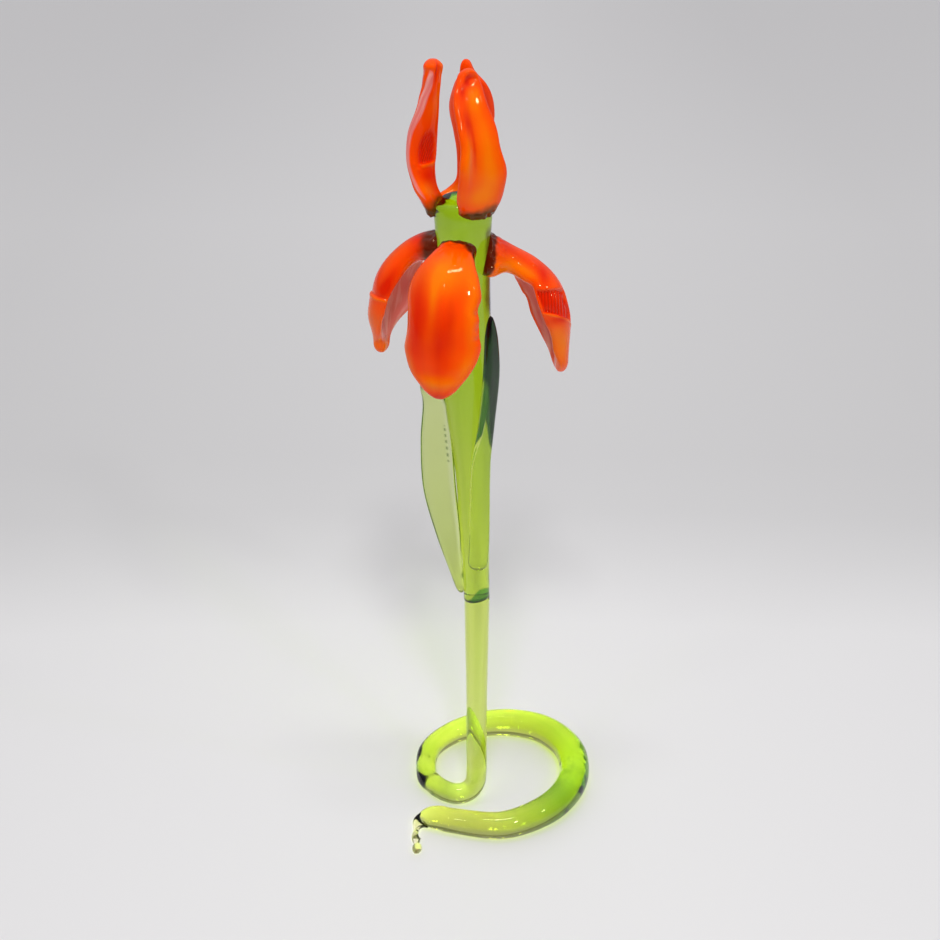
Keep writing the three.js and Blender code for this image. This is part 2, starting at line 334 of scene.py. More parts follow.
flatShare = 0.75  # how much of an end's rings lie in its flat


def flatEnd(inward, radius, edge):  # radius and depth of a ring in a flat end; inward is 1 at its rim
    if inward < flatShare:
        return (radius - edge) * inward / flatShare, 0
    corner = (inward - flatShare) * math.tau
    return radius - edge + edge * math.sin(corner), edge * (1 - math.cos(corner))


# Orange glass

# pink and paleSheen are painted reflection of the pale floor on the petals' undersides
orange = {"body": "ff4a00", "pale": "ff7a00", "red": "e02000", "pink": "ea7a74", "paleSheen": "fbb2a8"}


def makeOrangeGlass(name, root):  # root: the brown where the orange was worked into the green
    glass = bpy.data.materials.new(name)
    glass.use_nodes = True
    tree = glass.node_tree
    shader = tree.nodes["Principled BSDF"]
    shader.inputs["IOR"].default_value = 1.41
    shader.inputs["Specular Tint"].default_value = (1, 0.74, 0.4, 1)  # strong colour right under the gloss
    shader.inputs["Subsurface Weight"].default_value = 0.2  # light soaks through the thin rims
    shader.inputs["Subsurface Radius"].default_value = (1.0, 0.25, 0.1)
    shader.inputs["Subsurface Scale"].default_value = 0.9 * mm
    shader.inputs["Emission Strength"].default_value = 0.08  # painted light: a faint glow in the glass's own colour
    glaze = addNode(glass, "ShaderNodeAttribute", {"attribute_name": "glaze"})
    masks = addNode(glass, "ShaderNodeSeparateColor", links={"Color": glaze.outputs["Color"]})
    flow = addNode(glass, "ShaderNodeAttribute", {"attribute_name": "flow"})
    drawn = addNode(
        glass, "ShaderNodeMapping", {"Scale": (0.07, 0.45, 0.3)}, {"Vector": flow.outputs["Vector"]},
    )
    wisps = addNode(
        glass, "ShaderNodeTexNoise", {"Scale": 1.0, "Detail": 3.0, "Roughness": 0.55},
        {"Vector": drawn.outputs["Vector"]},
    )
    wispShare = addNode(glass, "ShaderNodeMapRange", {  # wisps 2 to 3 mm wide drawn out along the petal
        "From Min": 0.35, "From Max": 0.68, "To Min": -0.07, "To Max": 0.09,
    }, {"Value": wisps.outputs["Fac"]})
    sheenWisps = addNode(glass, "ShaderNodeMapRange", {  # paler wisps on the pink side: painted reflection streaks
        "From Min": 0.46, "From Max": 0.62, "To Max": 0.6,
    }, {"Value": wisps.outputs["Fac"]})
    rootShare = addNode(glass, "ShaderNodeMapRange", {
        "interpolation_type": "SMOOTHSTEP", "From Min": 0.25, "From Max": 0.8,
    }, {"Value": masks.outputs["Blue"]})
    palePart, redPart = [
        addNode(
            glass, "ShaderNodeMath", {"operation": "ADD", "use_clamp": True},
            {0: mask, 1: wispShare.outputs["Result"]},
        )
        for mask in (masks.outputs["Green"], masks.outputs["Red"])
    ]
    pink = addNode(glass, "ShaderNodeMix", {
        "data_type": "RGBA", mixUnder: linear(orange["pink"]), mixOver: linear(orange["paleSheen"]),
    }, {0: sheenWisps.outputs["Result"]})
    body = addNode(glass, "ShaderNodeMix", {
        "data_type": "RGBA", mixUnder: linear(orange["body"]), mixOver: linear(orange["pale"]),
    }, {0: palePart.outputs[0]})
    upper = addNode(glass, "ShaderNodeMix", {"data_type": "RGBA", mixOver: linear(orange["red"])}, {
        0: redPart.outputs[0], mixUnder: body.outputs[mixResult],
    })
    bothSides = addNode(glass, "ShaderNodeMix", {"data_type": "RGBA"}, {
        0: glaze.outputs["Alpha"], mixUnder: upper.outputs[mixResult], mixOver: pink.outputs[mixResult],
    })
    rooted = addNode(glass, "ShaderNodeMix", {"data_type": "RGBA", mixOver: linear(root)}, {
        0: rootShare.outputs["Result"], mixUnder: bothSides.outputs[mixResult],
    })
    tree.links.new(rooted.outputs[mixResult], shader.inputs["Base Color"])
    tree.links.new(rooted.outputs[mixResult], shader.inputs["Emission Color"])
    satin = addNode(
        glass, "ShaderNodeMapRange", {"To Min": 0.05, "To Max": 0.3}, {"Value": glaze.outputs["Alpha"]},
    )
    tree.links.new(satin.outputs["Result"], shader.inputs["Roughness"])  # gloss above, satin on the pink side
    return glass


fallGlass = makeOrangeGlass("opaque orange soda-lime glass, flame-polished falls", "5c1604")
standardGlass = makeOrangeGlass("opaque orange soda-lime glass, flame-polished standards", "5a340a")

# Rod

rod = {
    "rings": 460,
    "segments": 48,
    "cap": 0.02,  # share of the rings that closes the flat end in the joint
    "start": 0.0007,  # the rod begins this share after its first stop
    "edge": 0.3,  # rounding round the flat end, mm
    "stemX": 1.6,
    "stem": [(57.7, 2.93), (44, 2.72), (30, 2.5), (16, 2.47), (9, 2.47)],  # height, radius
    "bend": [(1.1, -0.1, 5.2), (-0.7, -0.6, 3.1)],
    "bendRadius": 2.48,
    "lead": [(-3.6, -0.8, 2.5), (-6.4, 0.6, 2.5), (-8.9, 3.3, 2.5)],  # x, y, radius
    "coilMiddle": (7.4, 7.3),
    "reaches": [18.2, 20.3, 21.2, 21.5, 21.5, 20, 18.6, 18.4, 19.4, 21.4, 22.4],
    "coilRadii": [2.55, 2.7, 2.95, 3.4, 3.6, 3.75, 3.75, 3.65, 3.5, 3.2, 2.95],
    "tail": [
        (-7.2, -10.8, 2.85), (-9.8, -10.4, 2.5), (-11.5, -10.8, 1.7), (-12.4, -12.2, 1.15),
        (-12.8, -14.2, 0.9), (-12.7, -16.2, 0.8), (-12.3, -17.8, 0.65), (-12.3, -18.9, 0.7),
        (-12.4, -19.9, 1.15), (-12.5, -20.8, 1), (-12.5, -21.3, 0.5),
    ],
    "tintAndShade": {"length": 210, "colours": [  # along the rod: stem, bend, round the coil from the left, tail; the tint carries painted shade and light over the bend, coil and tail
        (0.0, (0.97, 0.95, 0.9)), (0.15, (0.97, 0.95, 0.9)), (0.2, (0.86, 0.82, 0.92)),
        (0.26, (0.68, 0.66, 0.85)), (0.33, (0.94, 0.87, 1.0)), (0.42, (1.0, 0.9, 1.0)),
        (0.48, (0.94, 0.86, 0.7)), (0.52, (1.0, 0.97, 0.25)), (0.54, (0.85, 0.84, 0.25)),
        (0.56, (0.5, 0.56, 0.34)), (0.585, (0.58, 0.56, 0.7)), (0.63, (0.7, 0.58, 1.0)),
        (0.68, (0.8, 0.66, 1.0)), (0.72, (0.87, 0.76, 1.0)), (1.0, (0.92, 0.84, 1.0)),
    ]},
    "streaks": {"scale": (0.05, 0.55, 0.55), "strength": 0.3, "colour": "b8c050"},
    "grips": [  # where the hot rod was gripped: x, y, z, reach, depth, mm
        (-11, 11.5, 5.4, 2.6, 0.5), (-8.5, 15, 5, 1.5, -0.3),
        (25.2, 8, 6.6, 3.4, 0.55), (26.8, 12, 6, 1.6, 0.5), (24, 3, 7, 1.5, -0.3),
    ],
    "darkBand": {  # painted shade low on the outside of the coil: range in degrees, height of its top in mm
        "from": -100, "to": 80, "height": [-0.4, 4.4, 5.3, 3.9, 2.4, 1.6, -0.4], "leftEdge": 0.7,
    },
    "joint": {"above": 57, "tilt": 0.5, "reach": 2.9},  # mm, the seam with the tube stands slanted
    "seam": (57.15, 57.35),  # the yellow line in the joint starts and is full at these heights, mm
    "laid": (4, 3),  # after this stop it turns from standing to lying, over so many stops
    "twist": (22.4, 28.4, 75),  # the tail is flat and twisted between these stops, degrees for each stop
    "flowRadius": 3,  # mm
}
rodStops = [Vector((rod["stemX"], 0, height, radius)) for height, radius in rod["stem"]]
rodStops += [Vector((x, y, z, rod["bendRadius"])) for x, y, z in rod["bend"]]
rodStops += [Vector((x, y, r, r)) for x, y, r in rod["lead"]]
for index, (reach, radius) in enumerate(zip(rod["reaches"], rod["coilRadii"])):
    angle = math.radians(180 - 30 * index)
    rodStops.append(Vector((
        rod["coilMiddle"][0] + reach * math.cos(angle),
        rod["coilMiddle"][1] + reach * math.sin(angle),
        radius,
        radius,
    )))
rodStops += [Vector((x, y, r, r)) for x, y, r in rod["tail"]]


def rodRing(share):
    inward = min(share / rod["cap"], 1)
    share = rod["start"] + (1 - rod["start"]) * max(share - rod["cap"], 0) / (1 - rod["cap"])
    stop = smoothAlong(rodStops, share)
    ahead = smoothAlong(rodStops, min(1, share + 0.0005)) - smoothAlong(rodStops, max(0, share - 0.0005))
    tangent = Vector(ahead[:3]).normalized()
    spot = share * (len(rodStops) - 1)
    standing, over = rod["laid"]
    laid = min(max((spot - standing) / over, 0), 1)
    centre = Vector(stop[:3])
    if laid == 1:
        centre.z = stop[3]
    under = Vector((1 - laid, 0, -laid))
    under = (under - tangent * under.dot(tangent)).normalized()
    radius = stop[3]
    if inward < 1:
        radius, depth = flatEnd(inward, radius, rod["edge"])
        centre = rodStops[0].xyz - Vector((0, 0, depth))
    start, end, turned = rod["twist"]
    flat = soft(start, start + 1.2, spot) * (1 - soft(end - 0.8, end, spot))
    return centre, under, tangent.cross(under), radius, flat, math.radians(turned * (spot - start))


def jointSlant(x):  # how much higher the seam between rod and tube lies at this x
    return rod["joint"]["tilt"] * (x - rod["stemX"]) / rod["joint"]["reach"]


def rodPoint(ring, share, turn):
    centre, under, side, radius, flat, twist = ring
    along = share * rod["tintAndShade"]["length"]
    if turn is None:
        return centre, plainGlaze, (along, 0, 0)
    flow = (along, math.cos(turn) * rod["flowRadius"], math.sin(turn) * rod["flowRadius"])
    wide = radius * (1 + 0.35 * flat) * math.cos(turn)
    thin = radius * (1 - 0.5 * flat) * math.sin(turn)
    across = wide * math.cos(twist) - thin * math.sin(twist) if flat > 0 else wide
    aside = wide * math.sin(twist) + thin * math.cos(twist) if flat > 0 else thin
    point = centre + under * across + side * aside
    if point.z > rod["joint"]["above"]:
        point.z += jointSlant(point.x)
    for x, y, z, reach, depth in rod["grips"]:
        near = math.exp(-((point - Vector((x, y, z))).length / reach) ** 2)
        if near > 0.01:
            rough = 1 + 0.8 * noise.noise(point * 0.9)
            point -= (point - centre).normalized() * depth * near * rough
    return point, rodGlaze(point, centre, radius), flow


def rodGlaze(point, centre, radius):  # painted shade in dark green low on the outside and at the left edge, painted light in yellow along the bottom, yellow at the seam
    coilX, coilY = rod["coilMiddle"]
    fromMiddle = Vector((centre.x - coilX, centre.y - coilY, 0))
    outward = soft(-0.1, 0.5, (point - centre).dot(fromMiddle.normalized()) / radius)
    around = math.degrees(math.atan2(fromMiddle.y, fromMiddle.x))
    band = rod["darkBand"]
    top = smoothAlong(band["height"], (around - band["from"]) / (band["to"] - band["from"]))
    lying = soft(9, 7, centre.z)
    paintedShade = lying * outward * soft(top + 0.3, top - 0.3, point.z) * (band["from"] < around < band["to"])
    edge = band["leftEdge"] * lying * outward * soft(2.6, 1.6, point.z) * soft(150, 160, abs(around))
    yellow = lying * outward * soft(0.9, 0.4, point.z)
    seam = soft(*rod["seam"], point.z - jointSlant(point.x))
    return 0, max(paintedShade, edge) * (1 - yellow), max(yellow, seam), 0


stem = gather("glass_stem_and_coil", rod["rings"], rod["segments"])
drawOut(stem, rodRing, rodPoint, "rod")
rodGlass = makeLimeGlass(
    "lime soda-lime glass rod, bent in the flame", "rod", rod["tintAndShade"], rod["streaks"], "103c08",
)
finishPiece(stem, "stem_and_coil_foot", rodGlass)
print("stem and coil drawn")

# Flower tube

tube = {
    "rings": 260,
    "segments": 128,
    "cap": 0.03,  # share of the rings that closes the flat lower end
    "start": 0.0004,
    "edge": 0.3,  # rounding round the flat end, mm
    "domeFrom": 0.94,  # from this share on the rings close the top
    "dome": 1.0,  # height of the top over the lip, mm
    "stops": [  # height, x, radius
        (57.3, 1.55, 2.96), (67, 1.3, 3.08), (79, 0.92, 3.5), (91, 0.55, 4.03), (106, -0.42, 5.03),
        (124, -1.1, 5.5), (140, -1.45, 5.68), (146, -1.42, 5.95), (149, -1.5, 6.15),
        (150.8, -1.5, 5.7), (151.9, -1.5, 4.2),
    ],
    "tintAndShade": {"length": 95, "colours": [
        (0.0, (0.82, 0.9, 0.32)), (0.08, (0.85, 0.93, 0.36)), (0.16, (0.93, 0.985, 0.4)),
        (0.35, (0.94, 0.99, 0.5)), (0.6, (0.92, 0.98, 0.4)), (0.85, (0.9, 0.96, 0.14)),
        (0.95, (0.82, 0.92, 0.0)), (1.0, (0.82, 0.92, 0.0)),
    ]},
    "stain": {"from": 126, "to": 147},  # brown down the right side under the petals, mm
    "crescent": [57.3, 59.3, 60.7, 61.0, 60.4],  # top of the painted shade over the seam, from its middle to the right, mm
    "streaks": {"scale": (0.03, 0.35, 0.35), "strength": 0.25, "colour": "94b830"},
    "waver": 0.09,  # mm, hand-shaped surface
    "flowRadius": 5,  # mm
}
tubeStops = [Vector(stop) for stop in tube["stops"]]


def tubeRing(share):
    body = tube["domeFrom"] - tube["cap"]
    along = tube["start"] + (1 - tube["start"]) * min(max(share - tube["cap"], 0) / body, 1)
    height, lean, radius = smoothAlong(tubeStops, along)
    if share < tube["cap"]:
        radius, depth = flatEnd(share / tube["cap"], radius, tube["edge"])
        height = tubeStops[0][0] + depth
    if share > tube["domeFrom"]:
        outward = (1 - share) / (1 - tube["domeFrom"])
        radius *= outward
        height += tube["dome"] * (1 - outward ** 2)
    return Vector((lean, 0, height)), radius


def tubePoint(ring, share, turn):
    centre, radius = ring
    along = share * tube["tintAndShade"]["length"]
    if turn is None:
        return centre, plainGlaze, (along, 0, 0)
    out = Vector((math.cos(turn), math.sin(turn), 0))
    uneven = noise.noise(Vector((out.x * 1.3, out.y * 1.3, centre.z * 0.12)))
    point = centre + out * (radius + tube["waver"] * uneven * min(1, radius / 2))
    point.z += jointSlant(point.x) * (1 - soft(57.8, 62, point.z))
    degrees = math.degrees(turn) + 6 * noise.noise(Vector((0, 0, point.z * 0.5)))
    start, end = tube["stain"]["from"], tube["stain"]["to"]
    stain = soft(-44, -30, degrees) * soft(14, 2, degrees) * soft(start, start + 4, point.z)
    stain *= soft(end, end - 2, point.z)
    crest = smoothAlong(tube["crescent"], (point.x + 0.3) / 4.7)
    # painted shade: a dark crescent over the seam at the front
    paintedShade = soft(-0.2, 0.2, crest - point.z) * soft(0, 1.2, -point.y) * soft(-0.5, 0.1, point.x)
    return point, (0.9 * stain, paintedShade, 0, 0), (along, out.x * tube["flowRadius"], out.y * tube["flowRadius"])


flowerTube = gather("glass_flower_tube", tube["rings"], tube["segments"])
drawOut(flowerTube, tubeRing, tubePoint, "tube")
tubeGlass = makeLimeGlass("lime soda-lime glass, solid drawn tube", "tube", tube["tintAndShade"], tube["streaks"])
finishPiece(flowerTube, "flower_tube", tubeGlass)
print("flower tube drawn")

# Petals and leaves
# Spots are share along, place across, their spreads, amount in mm or of colour
# A pad is pressed by a tool: its range along and across, slant, softness of start, end and sides, mm deep;
# red is how much painted shade fills its hollow

blades = {
    "fall_left": {
        "azimuth": 160,
        "spine": [
            (4, 140.8), (9.5, 140.4), (14.4, 137.6), (18.2, 132.8), (19.2, 126.8), (19.1, 121),
            (19.1, 115.2),
        ],
        "halfWidth": [4.6, 4.6, 4.6, 5.7, 7.4, 8.8, 9.6, 9.6, 9, 7.2, 5.0, 2.8, 2.1],
        "wrap": [80, 110, 150, 180, 175, 130, 40],
        "thickness": [7.4, 5, 3.2, 2.4, 2.3, 2.6, 3.2],
        "roll": [0, 0, 5, 12, 15, 12, 0],
        "edges": [(0.84, -1, 0.1, 0.5, -1.2), (0.9, 1, 0.06, 0.5, -0.5)],
        "relief": [(0.74, 0.2, 0.09, 0.6, 0.35), (0.3, 0.4, 0.2, 0.4, 0.2), (0.5, 0.75, 0.15, 0.2, 0.2)],
        "pad": {
            "along": (0.45, 0.6), "across": (-0.2, 1.2), "slant": -0.045, "soft": (0.09, 0.008, 0.2),
            "depth": -0.4, "lip": 0.1, "red": 0.35,
        },
        "red": [(0.42, 0.85, 0.14, 0.14, 0.9), (0.3, 0.3, 0.2, 0.3, 0.3), (0.12, 0.3, 0.07, 1, 0.8)],
        "pale": [(0.76, 0.3, 0.13, 0.6, 1), (0.94, 0.3, 0.07, 0.8, 0.8), (0.3, 0.1, 0.1, 0.4, 0.5)],
        "brown": [(0.03, 0, 0.11, 2, 1.1)],
    },
    "fall_front": {
        "azimuth": 254,
        "pinkBelow": -0.6,
        "spine": [
            (4, 141), (9, 140.4), (14.2, 137.2), (17.4, 131.6), (18.6, 125.4), (18.6, 119.4),
            (17.6, 113.8),
        ],
        "halfWidth": [3.9, 4.2, 5.1, 6.8, 8, 8.5, 8.6, 8.6, 8.6, 8.3, 7.0, 4.3, 2.2],
        "wrap": [40, 60, 90, 100, 95, 70, 30],
        "thickness": [6, 4.6, 3, 2.4, 2.3, 2.4, 2.8],
        "edges": [
            (0.2, -1, 0.07, 0.7, 1.0), (0.29, -1, 0.07, 0.7, 1.2), (0.39, -1, 0.06, 0.7, 0.8),
            (0.52, -1, 0.05, 0.7, 0.35), (0.7, -1, 0.05, 0.7, 0.6), (0.44, 1, 0.05, 0.7, -0.8),
            (0.53, 1, 0.025, 0.5, -0.2), (0.67, 1, 0.05, 0.7, 0.5), (0.83, 1, 0.06, 0.7, -0.5),
        ],
        "relief": [
            (0.55, -0.35, 0.2, 0.3, -0.5), (0.7, 0.2, 0.13, 0.4, -0.45), (0.88, 0, 0.035, 0.8, 0.35),
            (0.5, 0.1, 0.2, 0.1, 0.12), (0.5, 0.75, 0.25, 0.15, 0.15), (0.55, -0.9, 0.07, 0.1, -0.3),
            (0.47, 0.93, 0.02, 0.12, -0.35), (0.56, 0.95, 0.025, 0.12, -0.35), (0.62, 0.92, 0.02, 0.12, -0.3),
            (0.16, -0.3, 0.05, 0.12, -0.2), (0.17, 0.25, 0.06, 0.1, -0.2),
        ],
        "red": [
            (0.62, -0.5, 0.2, 0.24, 1.0), (0.66, 0.08, 0.17, 0.26, 0.9), (0.5, 0.3, 0.15, 0.15, 0.35),
            (0.98, 0, 0.045, 1, 0.9), (0.38, -0.5, 0.12, 0.2, 0.5),
        ],
        "pale": [
            (0.5, 0.75, 0.3, 0.15, 0.6), (0.28, 0.05, 0.1, 0.6, 1), (0.87, 0, 0.045, 0.7, 1.0),
            (0.5, -0.95, 0.4, 0.12, 0.9), (0.42, -0.15, 0.13, 0.1, 0.7), (0.78, -0.75, 0.08, 0.15, 0.6),
            (0.78, 0.7, 0.08, 0.2, 0.6),
        ],
        "brown": [
            (0.0, 0, 0.045, 2, 1.2), (0.07, 0.62, 0.05, 0.3, 0.8), (0.12, 0.9, 0.05, 0.15, 0.8),
            (0.05, -0.5, 0.03, 0.2, 0.5),
        ],
    },
    "fall_right": {
        "azimuth": 12,
        "spine": [
            (4, 140.2), (9.5, 138.6), (15.4, 136), (19.9, 131.6), (21.8, 125.4), (22, 118.4),
            (21.6, 111.4),
        ],
        "halfWidth": [5, 4.6, 7.8, 10.4, 9.4, 5.4, 1.8],
        "wrap": [80, 110, 160, 195, 195, 160, 40],
        "thickness": [8.6, 5, 3.2, 2.4, 2.3, 2.6, 3.2],
        "roll": [0, 0, -5, -10, -10, -8, 0],
        "focus": (0.5, 0.45, -0.7, 0.5),  # where along and round the mesh is finest
        "edges": [
            (0.04, -1, 0.1, 0.6, 2.6), (0.33, -1, 0.05, 0.6, -1.0), (0.86, -1, 0.07, 0.6, 0.7),
            (0.56, 1, 0.14, 0.6, -1.7), (0.28, 1, 0.1, 0.6, 0.3),
        ],
        "relief": [
            (0.3, -0.6, 0.12, 0.25, -0.2), (0.66, -0.6, 0.05, 0.3, 0.15), (0.25, 0, 0.15, 0.2, 0.15),
            (0.17, -0.6, 0.012, 0.07, 0.14), (0.29, -0.44, 0.018, 0.07, 0.18),
            (0.84, -0.87, 0.012, 0.1, 0.12),
        ],
        "pad": {
            "along": (0.36, 0.553), "across": (-0.95, -0.26), "slant": 0.24, "soft": (0.012, 0.005, 0.06),
            "depth": -0.8, "lip": 0.12,
        },
        "ribs": {"direction": (1, 0, 0), "pitch": 0.75, "depth": 0.12},
        "red": [
            (0.635, -0.55, 0.04, 0.4, 1.2), (0.36, -0.5, 0.05, 0.3, 0.8), (0.2, -0.45, 0.12, 0.25, 0.5),
            (0.1, -0.1, 0.06, 0.35, 0.9),
        ],
        "pale": [
            (0.8, -0.8, 0.13, 0.3, 0.9), (0.12, -1, 0.12, 0.35, 1), (0.25, -0.75, 0.1, 0.15, 0.6),
            (0.3, 0.05, 0.2, 0.12, 0.8),
        ],
        "brown": [(0.0, 0, 0.045, 2, 1.2), (0.06, 0.05, 0.035, 0.3, 0.6)],
    },
    "standard_left": {
        "azimuth": 162,
        "spine": [(5.2, 148), (7.3, 152), (8.6, 158), (8.3, 164.5), (7, 171), (6.4, 176), (6.4, 179.6)],
        "halfWidth": [2.6, 2.8, 3, 3.3, 3.6, 3.65, 3.5, 2.9, 2.3, 1.9, 1.7, 1.75, 1.7],
        "wrap": [-30, 10, 70, 80, 50, 20, 10],
        "thickness": [3.4, 3.2, 3, 2.8, 2.6, 2.5, 2.4, 2.5, 2.7, 2.9, 3.0, 3.4, 3.4],
        "roll": [0, -10, -35, -40, -30, -10, 0],
        "focus": (0.4, 0.5, 0, 0.4),
        "edges": [
            (0.2, -1, 0.06, 0.6, -0.9), (0.3, -1, 0.07, 0.6, -0.9), (0.72, -1, 0.1, 0.6, -0.4),
            (0.95, 1, 0.06, 0.6, 0.7), (0.89, -1, 0.04, 0.6, 0.35), (0.97, -1, 0.03, 0.6, -0.5),
            (0.83, 1, 0.07, 0.6, 0.8), (0.7, 1, 0.07, 0.6, 0.5), (0.2, 1, 0.06, 0.6, 0.6),
            (0.05, 1, 0.07, 0.6, 1.0),
        ],
        "relief": [
            (0.88, 0.45, 0.09, 0.2, -0.45), (0.92, -0.4, 0.05, 0.3, 0.25), (0.25, 0, 0.06, 0.4, 0.2),
            (0.92, -0.1, 0.012, 0.14, 0.14), (0.345, 0.66, 0.012, 0.1, 0.14), (0.315, 0.5, 0.014, 0.1, 0.16),
            (0.345, 0.27, 0.006, 0.05, 0.08), (0.34, 0.08, 0.006, 0.05, 0.08),
            (0.335, -0.12, 0.006, 0.05, 0.08),
        ],
        "pad": {
            "along": (0.345, 0.5), "across": (-0.55, 0.32), "slant": 0, "soft": (0.008, 0.05, 0.2),
            "depth": -0.65, "lip": 0.1, "arch": 0.25, "ledgeBelow": True,
        },
        "ribs": {"direction": (0.94, 0, -0.33), "pitch": 0.5, "depth": 0.09},
        "red": [
            (0.4, 0, 0.12, 0.5, 0.8), (0.88, 0.45, 0.09, 0.15, 1.0), (0.2, -0.4, 0.06, 0.4, 0.3),
            (0.27, 0.1, 0.04, 0.6, 0.6),
        ],
        "pale": [(0.2, 0.6, 0.06, 0.4, 0.7), (0.92, -0.4, 0.08, 0.4, 0.8), (0.72, -0.3, 0.12, 0.4, 0.7)],
        "pinkFrom": [1.3, 1.1, 0.9, 0.86, 0.82, 0.74, 0.6, 0.58, 0.62, 0.9, 1.6],  # the rolled rim turns away and is painted pink as a reflection
        "brown": [(0.0, 0.2, 0.14, 1.5, 1.2)],
    },
    "standard_back": {
        "azimuth": 76,
        "spine": [
            (4.6, 147.6), (6.4, 150.2), (7.2, 153.6), (7.4, 160), (6.8, 166.6), (4.9, 173.8), (3, 179.2),
        ],
        "shift": [0, 0, 0, 0, 0, 0, 0.3],
        "halfWidth": [7, 7, 6.6, 5, 3.4, 3.2, 3.4, 4.1, 4.7, 4.3, 3.2, 1.5, 1.3],
        "wrap": [-120, -100, -10, 50, 50, 40, 10],
        "thickness": [3, 2.6, 2.4, 2.3, 2.3, 2.5, 2.8],
        "edges": [(0.72, 1, 0.06, 0.6, 0.45), (0.78, -1, 0.1, 0.6, 0.5)],
        "relief": [(0.96, 0.2, 0.012, 0.2, 0.1), (0.6, 0, 0.2, 0.4, -0.3)],
        "red": [(0.75, -0.6, 0.15, 0.4, 0.9), (0.85, 0, 0.2, 0.6, 0.4)],
        "pale": [(0.2, 0.6, 0.1, 0.6, 0.8)],
        "brown": [(0.0, 0, 0.05, 2, 0.8)],
    },
    "standard_right": {
        "azimuth": 300,
        "shown": -1,
        "pinkBelow": -0.6,  # its rim stays orange a long way round
        "spine": [(5.6, 149.4), (7, 152.6), (7.7, 157.8), (7.1, 164.4), (4.9, 170.6), (2.9, 175), (2, 178.4)],
        "shift": [-0.3, 0, 0, -0.4, -0.9, -0.4, 0],
        "halfWidth": [3.8, 5.2, 5.8, 4.8, 3.7, 2.8, 1.6],
        "wrap": [-60, -30, 40, 60, 60, 50, 10],
        "thickness": [3.4, 3, 2.6, 2.4, 2.4, 2.5, 2.8],
        "edges": [
            (0.74, -1, 0.07, 0.6, 0.6), (0.66, -1, 0.06, 0.6, 0.6), (0.56, -1, 0.07, 0.6, 0.7),
            (0.42, -1, 0.06, 0.6, 0.5), (0.45, 1, 0.09, 0.6, -0.7), (0.28, 1, 0.08, 0.6, -0.5),
            (0.05, 1, 0.05, 0.5, 0.5),
        ],
        "relief": [
            (0.9, 0.1, 0.03, 0.5, -0.35), (0.86, -0.35, 0.05, 0.35, -0.4),
            (0.78, -0.65, 0.06, 0.25, -0.25), (0.5, -0.35, 0.22, 0.25, -0.2), (0.4, 0.3, 0.25, 0.3, 0.15),
            (0.35, -0.8, 0.2, 0.15, 0.2), (0.965, 0, 0.02, 1, 0.35), (0.25, -0.1, 0.07, 0.3, -0.2),
            (0.93, -0.5, 0.012, 0.15, 0.14), (0.985, 0, 0.008, 0.3, 0.12),
        ],
        "red": [
            (0.91, 0.0, 0.03, 0.5, 0.9), (0.86, -0.35, 0.05, 0.35, 1.0), (0.78, -0.7, 0.06, 0.25, 0.9),
            (0.47, -0.42, 0.09, 0.1, 0.6), (0.6, -0.55, 0.06, 0.35, 0.7),
            (0.7, 0.95, 0.12, 0.1, 0.4),
        ],
        "pale": [
            (0.4, 0.2, 0.28, 0.5, 0.9), (0.45, -0.8, 0.1, 0.2, 0.8), (0.74, 0.1, 0.08, 0.5, 0.8),
            (0.22, -0.3, 0.07, 0.5, 0.8),
        ],
        "brown": [(0.0, 0.15, 0.12, 1.3, 1.25), (0.14, 0.6, 0.04, 0.5, 0.3)],
    },
    "leaf_left": {
        "azimuth": 270,
        "spine": [(0.5, 58.8), (0.5, 66), (0.4, 75), (0.3, 86), (0.2, 97), (0.2, 106), (0.2, 111.4)],
        "shift": [-0.5, -2, -3.6, -5.4, -6, -6.4, -9.3],
        "halfWidth": [0.9, 1.7, 2.9, 3.7, 3.5, 2.6, 0.8],
        "wrap": [10, 10, 20, 20, 20, 20, 10],
        "thickness": [2.2, 1.9, 1.7, 1.6, 1.5, 1.4, 1.9],
        "tintAndShade": {"length": 40, "colours": [
            (0.0, (0.8, 0.9, 0.3)), (0.1, (0.78, 0.88, 0.36)), (0.3, (0.77, 0.86, 0.42)),
            (0.6, (0.8, 0.87, 0.5)), (1.0, (0.82, 0.88, 0.55)),
        ]},
        "fold": {"share": (0.585, 0.73), "place": (0.62, 0.54), "amount": 1.0},  # a broken line of painted shade, standing in for a fold
        "thick": [  # painted shade on rims and corners: share, place, their spreads, amount
            (0.955, -0.3, 0.014, 0.5, 1.0), (0.85, 0.97, 0.08, 0.12, 1.0),
            (0.075, -0.95, 0.045, 0.25, 1.0), (0.11, 0.95, 0.018, 0.3, 1.0),
            (0.55, -1, 0.06, 0.06, 0.8),
        ],
        "clear": {  # its side next to the tube is painted pale and clear: a painted highlight streak
            "from": 0.5, "to": 0.8, "amount": 0.75,
        },
        "paintedShade": "2c5a14",
    },
    "leaf_right": {
        "azimuth": 270,
        "spine": [(3.4, 66), (3.9, 73), (4.5, 82), (5.3, 93), (6.1, 103), (6.8, 116), (7.5, 128.6)],
        "shift": [3.1, 3.5, 3.6, 3.8, 4.9, 5.9, 5.7],
        "halfWidth": [2.2, 2.3, 2.3, 2.2, 2.2, 2.3, 1.2],
        "wrap": [-60, -60, -50, -40, 0, 10, 10],
        "thickness": [1.6, 1.6, 1.6, 1.8, 2, 2.2, 1.8],
        "roll": [0, 5, 10, 20, 44, 52, 54],
        "tintAndShade": {"length": 40, "colours": [
            (0.0, (1, 1, 0.7)), (0.3, (0.98, 0.99, 0.6)), (1.0, (0.9, 0.95, 0.5)),
        ]},
        "dark": [2, 2, 2, 2, 2, 1.4, 0.6, -0.2, -0.9, -2, -2],  # the place where its painted shade begins: the edge-on side looks dark
        "paintedShade": "0c3a06",
    },
}
